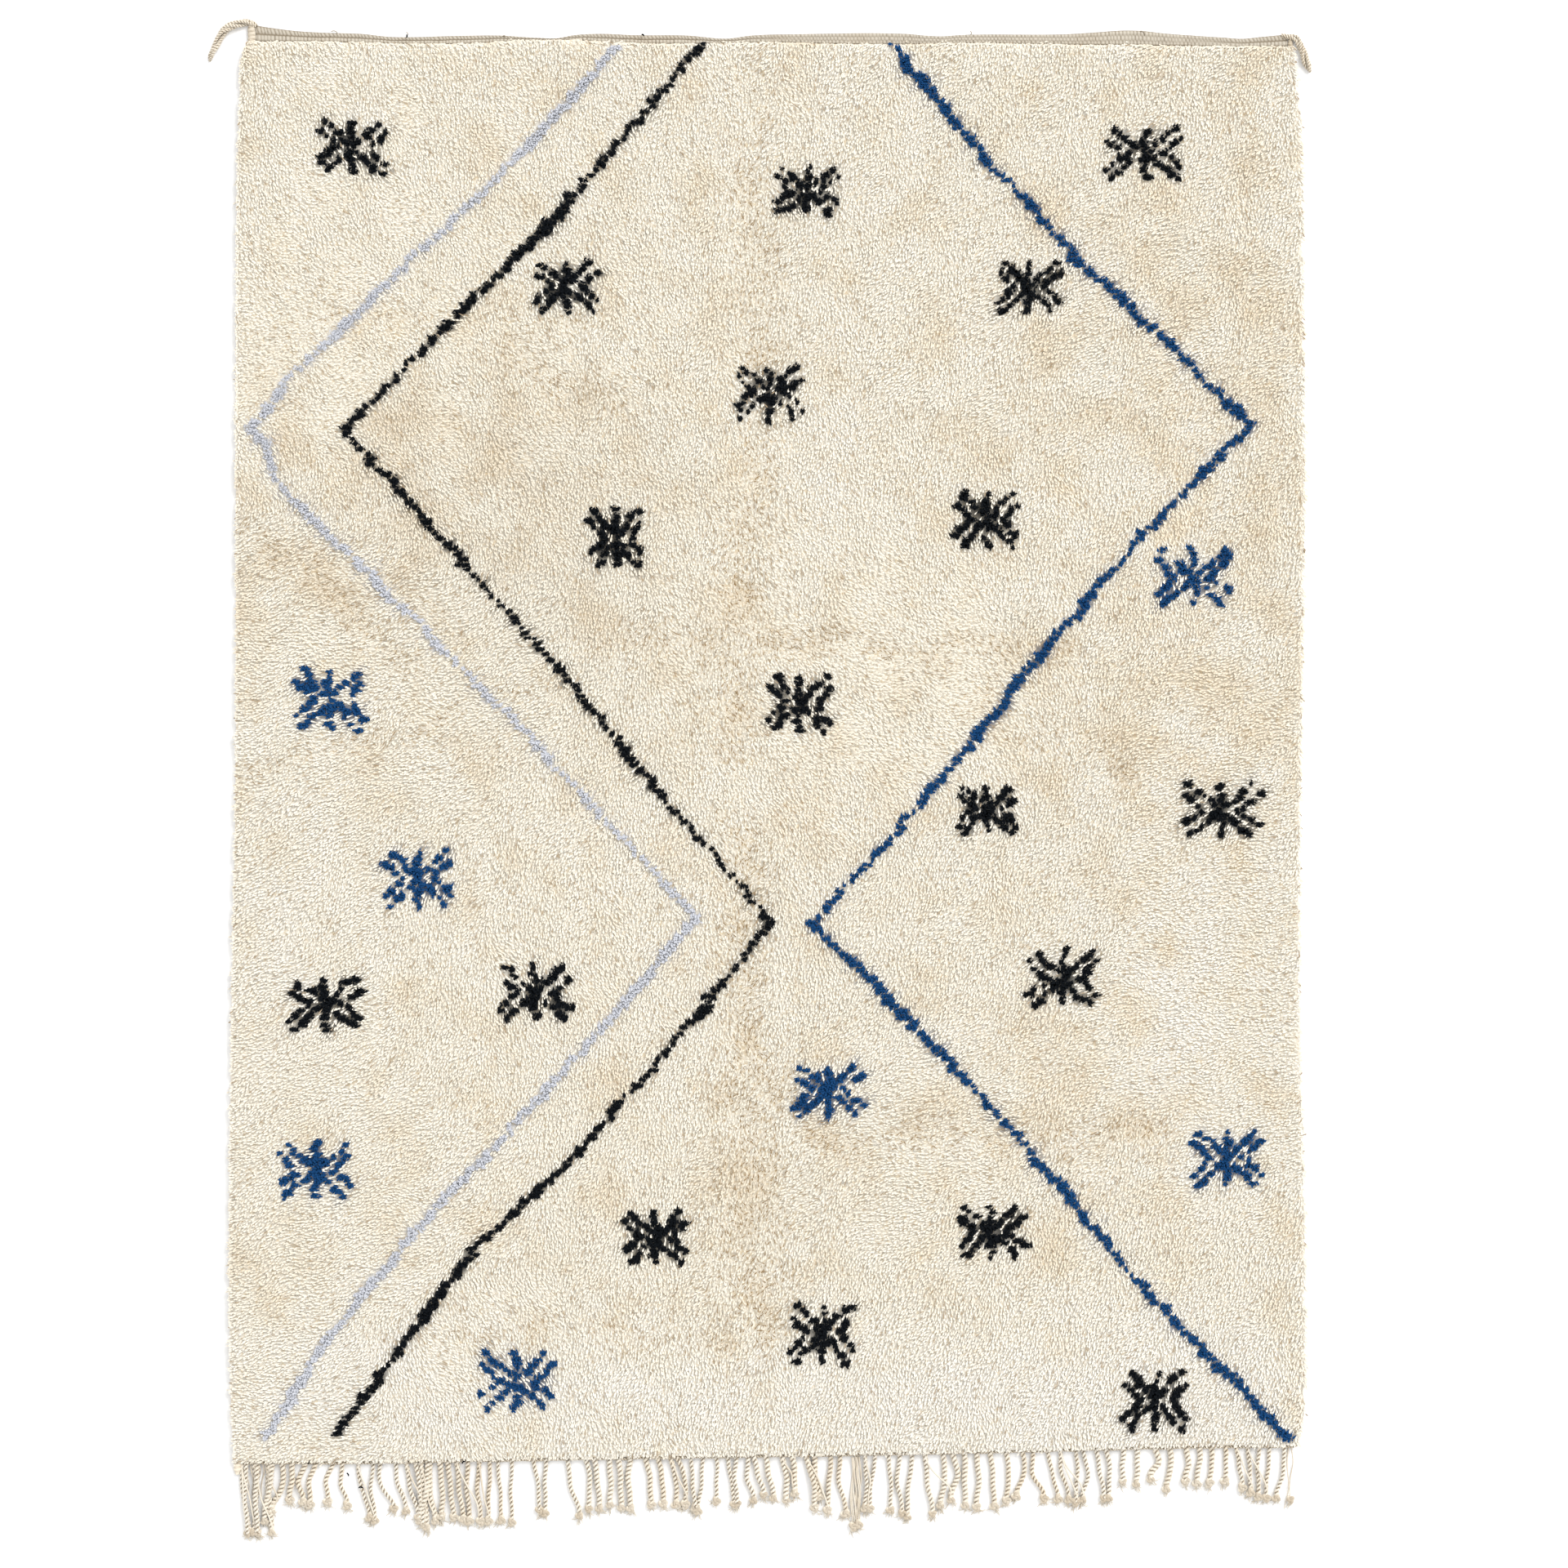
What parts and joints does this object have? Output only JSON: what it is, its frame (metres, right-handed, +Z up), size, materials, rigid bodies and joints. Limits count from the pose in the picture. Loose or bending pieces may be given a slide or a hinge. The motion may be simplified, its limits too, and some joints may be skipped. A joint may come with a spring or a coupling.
{
  "type": "beni ourain rug",
  "caption": "Hand-knotted wool pile rug lying flat, with a flat-woven heading, overcast sides, a knotted cord fringe and corner tassels.",
  "frame": {"origin": "middle of the pile field's underside, on the plane that the rug lies on", "axes": "+Z up from the floor, +Y along the rug towards the flat-woven heading, +X to the right seen from above with the heading away"},
  "size_m": [1.5565, 2.1456, 0.017],
  "materials": {
    "pile_wool": "matte wool pile, cream, with black, blue and pale grey-blue knots",
    "flat_weave": "matte ribbed flat weave, greyish beige",
    "edge_wool": "matte overcast wool yarn",
    "tassel_yarn": "matte loose twisted yarn",
    "fringe_cord": "matte two-ply twisted cord, tan cream"
  },
  "bodies": {
    "root": {"pile_field": "pile_wool", "top_heading": "flat_weave", "left_selvedge": "edge_wool", "right_selvedge": "edge_wool", "left_tassel": "tassel_yarn", "right_tassel": "tassel_yarn", "fringe": "fringe_cord"}
  },
  "joints": []
}
